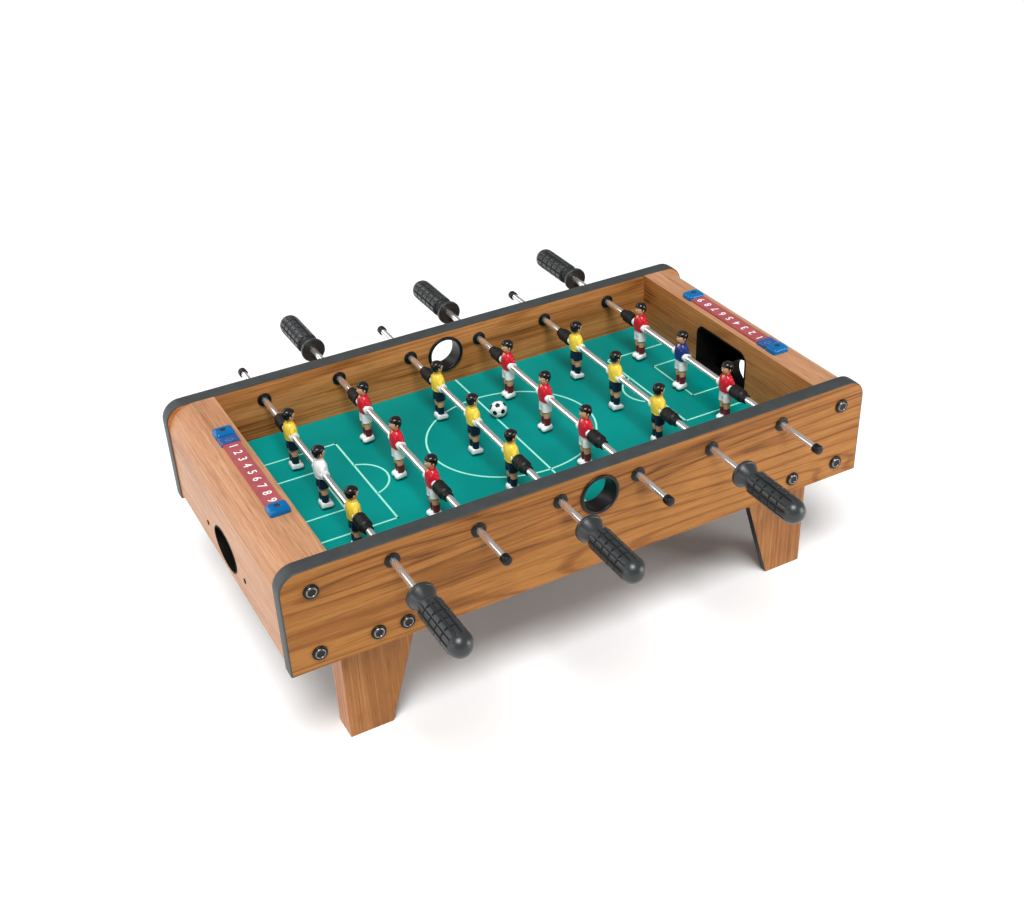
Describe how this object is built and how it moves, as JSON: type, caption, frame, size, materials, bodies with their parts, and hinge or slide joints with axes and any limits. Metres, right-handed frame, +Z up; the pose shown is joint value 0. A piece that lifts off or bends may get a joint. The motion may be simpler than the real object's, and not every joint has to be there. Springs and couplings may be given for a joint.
{
  "type": "foosball table",
  "caption": "Small wooden tabletop foosball table with short legs, sliding and spinning player rods, ribbed handles, goal boxes, score sliders and a ball.",
  "frame": {"origin": "on the surface the table stands on, under the middle of the field", "axes": "+X along the table from the left goal to the right goal, +Y from the front side to the rear, +Z up"},
  "size_m": [0.69, 0.68, 0.2478],
  "materials": {
    "panel_wood": "printed oak laminate, satin",
    "inner_wood": "darker printed wood laminate, satin",
    "end_wood": "pale beech laminate, satin",
    "leg_wood": "printed oak laminate, satin",
    "block_wood": "raw softwood",
    "field_green": "printed green board, satin",
    "edge_trim": "dark grey plastic edging",
    "black_plastic": "moulded black plastic",
    "steel_bolt": "plated steel",
    "rod_steel": "plated steel tube",
    "handle_black": "moulded black plastic, satin",
    "bumper_black": "moulded black rubber",
    "player_yellow": "painted moulded plastic",
    "player_red": "painted moulded plastic",
    "scorer_blue": "moulded blue plastic",
    "scorer_red": "moulded red plastic with white numbers",
    "ball_white": "white plastic with black patches"
  },
  "bodies": {
    "table": {"front_side_panel": "panel_wood", "rear_side_panel": "panel_wood", "front_edge_band": "edge_trim", "rear_edge_band": "edge_trim", "playfield": "field_green", "left_end_wall": "inner_wood", "right_end_wall": "inner_wood", "left_end_cover": "end_wood", "right_end_cover": "end_wood", "left_goal_box": "black_plastic", "right_goal_box": "black_plastic", "end_corner_blocks": "block_wood", "rod_bushings": "black_plastic", "ball_drop_rings": "black_plastic", "panel_bolts": "steel_bolt", "bolt_cups": "black_plastic", "leg_nuts": "steel_bolt", "cover_screws": "steel_bolt", "scorer_screws": "steel_bolt", "rear_right_leg": "leg_wood", "rear_left_leg": "leg_wood", "front_right_leg": "leg_wood", "front_left_leg": "leg_wood", "left_scorer_strip": "scorer_red", "right_scorer_strip": "scorer_red", "left_scorer_caps": "scorer_blue", "right_scorer_caps": "scorer_blue"},
    "rod_1_stops": {"bumpers_1": "bumper_black"},
    "rod_1_set": {"rod_1": "rod_steel", "handle_1": "handle_black", "rod_cap_1": "black_plastic", "players_1": "player_yellow"},
    "rod_2_stops": {"bumpers_2": "bumper_black"},
    "rod_2_set": {"rod_2": "rod_steel", "handle_2": "handle_black", "rod_cap_2": "black_plastic", "players_2": "player_red"},
    "rod_3_stops": {"bumpers_3": "bumper_black"},
    "rod_3_set": {"rod_3": "rod_steel", "handle_3": "handle_black", "rod_cap_3": "black_plastic", "players_3": "player_yellow"},
    "rod_4_stops": {"bumpers_4": "bumper_black"},
    "rod_4_set": {"rod_4": "rod_steel", "handle_4": "handle_black", "rod_cap_4": "black_plastic", "players_4": "player_red"},
    "rod_5_stops": {"bumpers_5": "bumper_black"},
    "rod_5_set": {"rod_5": "rod_steel", "handle_5": "handle_black", "rod_cap_5": "black_plastic", "players_5": "player_yellow"},
    "rod_6_stops": {"bumpers_6": "bumper_black"},
    "rod_6_set": {"rod_6": "rod_steel", "handle_6": "handle_black", "rod_cap_6": "black_plastic", "players_6": "player_red"},
    "left_slider": {"left_scorer_slider": "scorer_blue"},
    "right_slider": {"right_scorer_slider": "scorer_blue"},
    "ball": {"ball": "ball_white"}
  },
  "joints": [
    {"name": "rod_1_slide", "type": "slide", "parent": "table", "child": "rod_1_stops", "axis": [0, 1, 0], "range_m": [-0.0337, 0.0437]},
    {"name": "rod_1_spin", "type": "hinge", "parent": "rod_1_stops", "child": "rod_1_set", "pos_m": [-0.231, 0, 0.2175], "axis": [0, 1, 0], "continuous": true},
    {"name": "rod_2_slide", "type": "slide", "parent": "table", "child": "rod_2_stops", "axis": [0, 1, 0], "range_m": [-0.0437, 0.0337]},
    {"name": "rod_2_spin", "type": "hinge", "parent": "rod_2_stops", "child": "rod_2_set", "pos_m": [-0.1386, 0, 0.2175], "axis": [0, 1, 0], "continuous": true},
    {"name": "rod_3_slide", "type": "slide", "parent": "table", "child": "rod_3_stops", "axis": [0, 1, 0], "range_m": [-0.0429, 0.0345]},
    {"name": "rod_3_spin", "type": "hinge", "parent": "rod_3_stops", "child": "rod_3_set", "pos_m": [-0.0462, 0, 0.2175], "axis": [0, 1, 0], "continuous": true},
    {"name": "rod_4_slide", "type": "slide", "parent": "table", "child": "rod_4_stops", "axis": [0, 1, 0], "range_m": [-0.0437, 0.0337]},
    {"name": "rod_4_spin", "type": "hinge", "parent": "rod_4_stops", "child": "rod_4_set", "pos_m": [0.0462, 0, 0.2175], "axis": [0, 1, 0], "continuous": true},
    {"name": "rod_5_slide", "type": "slide", "parent": "table", "child": "rod_5_stops", "axis": [0, 1, 0], "range_m": [-0.0405, 0.0369]},
    {"name": "rod_5_spin", "type": "hinge", "parent": "rod_5_stops", "child": "rod_5_set", "pos_m": [0.1386, 0, 0.2175], "axis": [0, 1, 0], "continuous": true},
    {"name": "rod_6_slide", "type": "slide", "parent": "table", "child": "rod_6_stops", "axis": [0, 1, 0], "range_m": [-0.0402, 0.0372]},
    {"name": "rod_6_spin", "type": "hinge", "parent": "rod_6_stops", "child": "rod_6_set", "pos_m": [0.231, 0, 0.2175], "axis": [0, 1, 0], "continuous": true},
    {"name": "left_score", "type": "slide", "parent": "table", "child": "left_slider", "axis": [0, 1, 0], "range_m": [-0.1314, 0]},
    {"name": "right_score", "type": "slide", "parent": "table", "child": "right_slider", "axis": [0, 1, 0], "range_m": [0, 0.1314]},
    {"name": "ball_lift", "type": "slide", "parent": "table", "child": "ball", "axis": [0, 0, 1], "range_m": [0, 0.15]}
  ]
}
